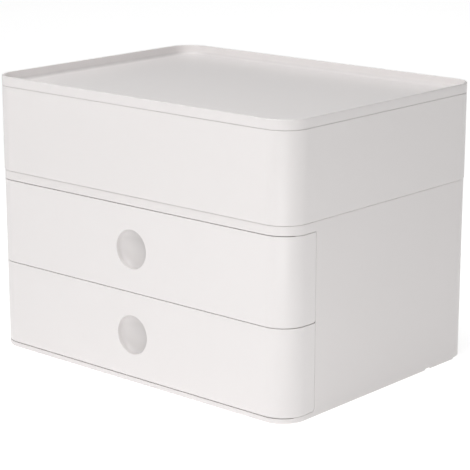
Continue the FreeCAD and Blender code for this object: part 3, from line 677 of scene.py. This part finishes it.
def makeHousing():
    wide, deep, corner = housingPlan
    low, high = housing["bottom"], housing["top"]
    shell = block("housingShell", (-wide, -deep, low), (wide, deep, high))
    roundEdges(shell, (corner, cornerSteps), upright)
    stepFace(shell, 1, high, [(wallThick, levels["plate"] - high)])
    stepFace(shell, -1, low, [(wallThick, levels["floorUnder"] - low)])
    roundEdges(shell, housing["skirtRound"], onWall(housingPlan, 0, low, low))
    roundEdges(shell, housing["rimRound"], onWall(housingPlan, 0, high, high))
    roundEdges(shell, housing["rimInnerRound"], onWall(housingPlan, wallThick, high, high))
    cutBays(shell)
    addTo(shell, makeDrawerRibs())
    cutFrom(shell, makeReliefs())
    dress(shell, "housing", "housing", "housing_plastic")


makeHousing()
print("housing modelled")


# drawer fronts: a wrap-round panel with a round bowl, a web and hook that hold the tray
drawerFront = {"bottom": 5.58, "top": 62.33, "back": housing["opening"]["back"] - gaps["seam"],
               "wall": 2.4, "returnCorner": (2.2, 6), "edge": (0.24, 3),
               "bowl": {"bottom": pull["depth"] - housingPlan[1], "round": 5.6, "edge": (0.35, 4),
                        "segments": 96, "rings": 48},
               "boss": {"wide": 15.378, "narrow": 10.5, "sides": 64},
               "webThick": 1.8, "overlap": 0.5,
               "hook": {"inset": 12, "thick": 1.6, "drop": 6, "cornerSteps": 6},
               "spacer": {"place": 75, "half": 1}}
# the web, the spacers and the bowl's back start in the middle of the panel's wall
midWall = smaller(housingPlan, drawerFront["wall"] / 2)


def frontCorners(a, b, angle):
    return upright(a, b, angle) and a.y < drawerFront["back"] - past


def makePanel():
    wide, deep, corner = housingPlan
    low, high, back = drawerFront["bottom"], drawerFront["top"], drawerFront["back"]
    panel = block("lowerFrontPanel", (-wide, -deep, low), (wide, back, high))
    roundEdges(panel, drawerFront["returnCorner"], lambda a, b, angle: all(
        same(point.y, back) and same(point.z, low) for point in (a, b)))
    roundEdges(panel, (corner, cornerSteps), frontCorners)
    roundEdges(panel, drawerFront["edge"], onWall(housingPlan, 0, low, high))
    wide, deep, corner = smaller(housingPlan, drawerFront["wall"])
    hollow = block("frontHollow", (-wide, -deep, low - past), (wide, back + past, high + past))
    roundEdges(hollow, (corner, cornerSteps), frontCorners)
    cutFrom(panel, [hollow])
    return panel


def makeBowlBack():
    boss, start, end = drawerFront["boss"], -midWall[1], drawerFront["bowl"]["bottom"] + pull["wall"]
    bpy.ops.object.select_all(action="DESELECT")
    bpy.ops.mesh.primitive_cone_add(
        vertices=boss["sides"], radius1=boss["wide"] * mm, radius2=boss["narrow"] * mm,
        depth=(end - start) * mm, rotation=(-math.pi / 2, 0, 0),
        location=(0, (start + end) / 2 * mm, pull["height"] * mm))
    return settle(bpy.context.object, "bowlBack")


def makeWeb():
    # a level web over the tray's front wall, with a hook that drops behind that wall
    hook = drawerFront["hook"]
    bottom, top, back = tray["top"], tray["top"] + drawerFront["webThick"], drawerFront["back"]
    wide, deep, corner = midWall
    web = block("web", (-wide, -deep, bottom), (wide, back, top))
    roundEdges(web, (corner, cornerSteps), frontCorners)
    hookFront = tray["front"] + tray["wall"]
    hookBack = hookFront + hook["thick"]
    half = tray["half"] - tray["wall"]
    cutter = block("webCutter", (-half, hookBack, bottom - past), (half, back + past, top + past))
    corner = tray["frontCorner"][0] - tray["wall"] - hook["thick"]
    roundEdges(cutter, (corner, hook["cornerSteps"]), frontCorners)
    cutFrom(web, [cutter])
    half = tray["half"] - hook["inset"]
    addTo(web, [block("hook", (-half, hookFront, bottom - hook["drop"]),
                      (half, hookBack, bottom + drawerFront["overlap"]))])
    return web


def makeSpacers():
    place, half = drawerFront["spacer"]["place"], drawerFront["spacer"]["half"]
    return [block("spacer", (middle - half, -midWall[1], tray["bottom"]),
                  (middle + half, tray["front"], tray["top"] + drawerFront["overlap"]))
            for middle in (-place, place)]


def makeBowlCutter():
    # the end of a turned blank: a cylinder with a rounded, flattened end
    bowl = drawerFront["bowl"]
    flat = bowl["bottom"] - bowl["round"]
    start = -housingPlan[1] - past
    bpy.ops.object.select_all(action="DESELECT")
    bpy.ops.mesh.primitive_uv_sphere_add(
        segments=bowl["segments"], ring_count=bowl["rings"], radius=pull["radius"] * mm,
        rotation=(math.pi / 2, 0, 0), location=(0, flat * mm, pull["height"] * mm))
    cutter = bpy.context.object
    cutter.scale = (1, 1, bowl["round"] / pull["radius"])
    settle(cutter, "bowlCutter")
    pick(cutter, "VERT", lambda vert: vert.co.y / mm < flat - closeBy)
    bpy.ops.mesh.delete(type="VERT")
    bpy.ops.object.mode_set(mode="OBJECT")
    pick(cutter, "EDGE", lambda edge: edge.is_boundary)
    bpy.ops.mesh.extrude_region_move(TRANSFORM_OT_translate={"value": (0, (start - flat) * mm, 0)})
    bpy.ops.mesh.edge_face_add()
    bpy.ops.object.mode_set(mode="OBJECT")
    return cutter


def onBowlRim(a, b, angle):
    return angle > sharp and all(
        same(point.y, -housingPlan[1])
        and abs(math.hypot(point.x, point.z - pull["height"]) - pull["radius"]) < facetDip
        for point in (a, b))


def makeFront():
    panel = makePanel()
    addTo(panel, [makeBowlBack()])
    addTo(panel, [makeWeb()])
    addTo(panel, makeSpacers())
    cutFrom(panel, [makeBowlCutter()])
    roundEdges(panel, drawerFront["bowl"]["edge"], onBowlRim)
    return panel


lowerPanel = makeFront()
upperPanel = raisedCopy(lowerPanel, "upperFrontPanel")
dress(lowerPanel, "lower_drawer_front", "lower_drawer", "front_plastic")
dress(upperPanel, "upper_drawer_front", "upper_drawer", "front_plastic")
print("drawer fronts modelled")

lowerShell = makeTray()
upperShell = raisedCopy(lowerShell, "upperTrayShell")
dress(lowerShell, "lower_drawer_tray", "lower_drawer", "tray_plastic")
dress(upperShell, "upper_drawer_tray", "upper_drawer", "tray_plastic")
print("drawer trays modelled")


# feet: rubber discs with a rounded lower edge, against the housing's floor
foot = {"radius": 6, "edge": (0.6, 4), "inset": 21, "sides": 48}


def makeFeet():
    height = levels["floorUnder"]
    across, along = housingPlan[0] - foot["inset"], housingPlan[1] - foot["inset"]
    for end, y in (("front", -along), ("rear", along)):
        for side, x in (("left", -across), ("right", across)):
            bpy.ops.object.select_all(action="DESELECT")
            bpy.ops.mesh.primitive_cylinder_add(
                vertices=foot["sides"], radius=foot["radius"] * mm, depth=height * mm,
                location=(x * mm, y * mm, height / 2 * mm))
            disc = settle(bpy.context.object, end + side.title() + "FootDisc")
            roundEdges(disc, foot["edge"], levelAt(0))
            dress(disc, f"{end}_{side}_foot", "housing", "foot_rubber")


makeFeet()
print("feet modelled")


# studio: pale air, a white floor that glows a little, three soft lights and a fill
studio = {"sky": (0.45, 0.10), "skyEdge": (0.10, 0.40),   # near the horizon and overhead
          "glow": (0.66, 0.72), "glowEdge": (0.8, 1.0),   # near the object and far off, in metres
          "floorSize": 20, "floorTone": 0.80, "floorDrift": 0.02, "driftScale": 3.0, "floorGloss": 0.9}
lamps = {
    "backLight": {"place": (-1.2, 1.6, 1.9), "target": (0.0, 0.0, 0.19),
                  "size": (2.0, 2.0), "power": 10.2},
    "topLight": {"place": (0.0, -0.35, 0.9), "target": (0.0, 0.0, 0.1),
                 "size": (0.8, 0.8), "power": 7.0},
    "rightLight": {"place": (1.6, -1.4, 0.8), "target": (0.0, 0.0, 0.08),
                   "size": (1.8, 1.4), "power": 2.3},
    "cornerFill": {"place": (0.31, -0.36, 0.045), "target": (0.1, -0.1, 0.05),
                   "size": (0.25, 0.08), "power": 0.152},
}


def makeFloor():
    bpy.ops.object.select_all(action="DESELECT")
    bpy.ops.mesh.primitive_plane_add(size=studio["floorSize"], location=(0, 0, 0))
    floor = bpy.context.object
    floor.name = "studioFloor"
    paper = Finish("studioPaper")
    low, high = studio["floorTone"], studio["floorTone"] + studio["floorDrift"]
    away = paper.node("ShaderNodeVectorMath", {"operation": "LENGTH"}, {0: paper.place()}, 1)
    glow = paper.ramp(away, *studio["glowEdge"], *studio["glow"])
    paper.set(Base_Color=paper.blend(paper.noise(studio["driftScale"]), (low,) * 3, (high,) * 3),
              Emission_Color=paper.blend(glow, (0, 0, 0), (1, 1, 1)), Emission_Strength=1.0,
              Roughness=studio["floorGloss"])
    floor.data.materials.append(paper.material)


def makeStudio():
    makeFloor()
    air = bpy.data.worlds.new("studioAir")
    sky = Finish("studioAir", air)
    direction = sky.node("ShaderNodeTexCoord", {}, {}, "Generated")
    height = sky.node("ShaderNodeSeparateXYZ", {}, {"Vector": direction}, "Z")
    low, high = studio["sky"]
    sky.set(Color=sky.blend(sky.ramp(height, *studio["skyEdge"]), (low,) * 3, (high,) * 3))
    bpy.context.scene.world = air
    for name, lamp in lamps.items():
        bpy.ops.object.light_add(type="AREA", location=lamp["place"])
        light = bpy.context.object
        light.name = name
        light.visible_camera = False
        light.data.shape = "RECTANGLE"
        light.data.size, light.data.size_y = lamp["size"]
        light.data.energy = lamp["power"]
        aim = Vector(lamp["target"]) - Vector(lamp["place"])
        light.rotation_euler = aim.to_track_quat("-Z", "Y").to_euler()
    bpy.context.scene.view_settings.view_transform = "Standard"


makeStudio()
print("studio lit")
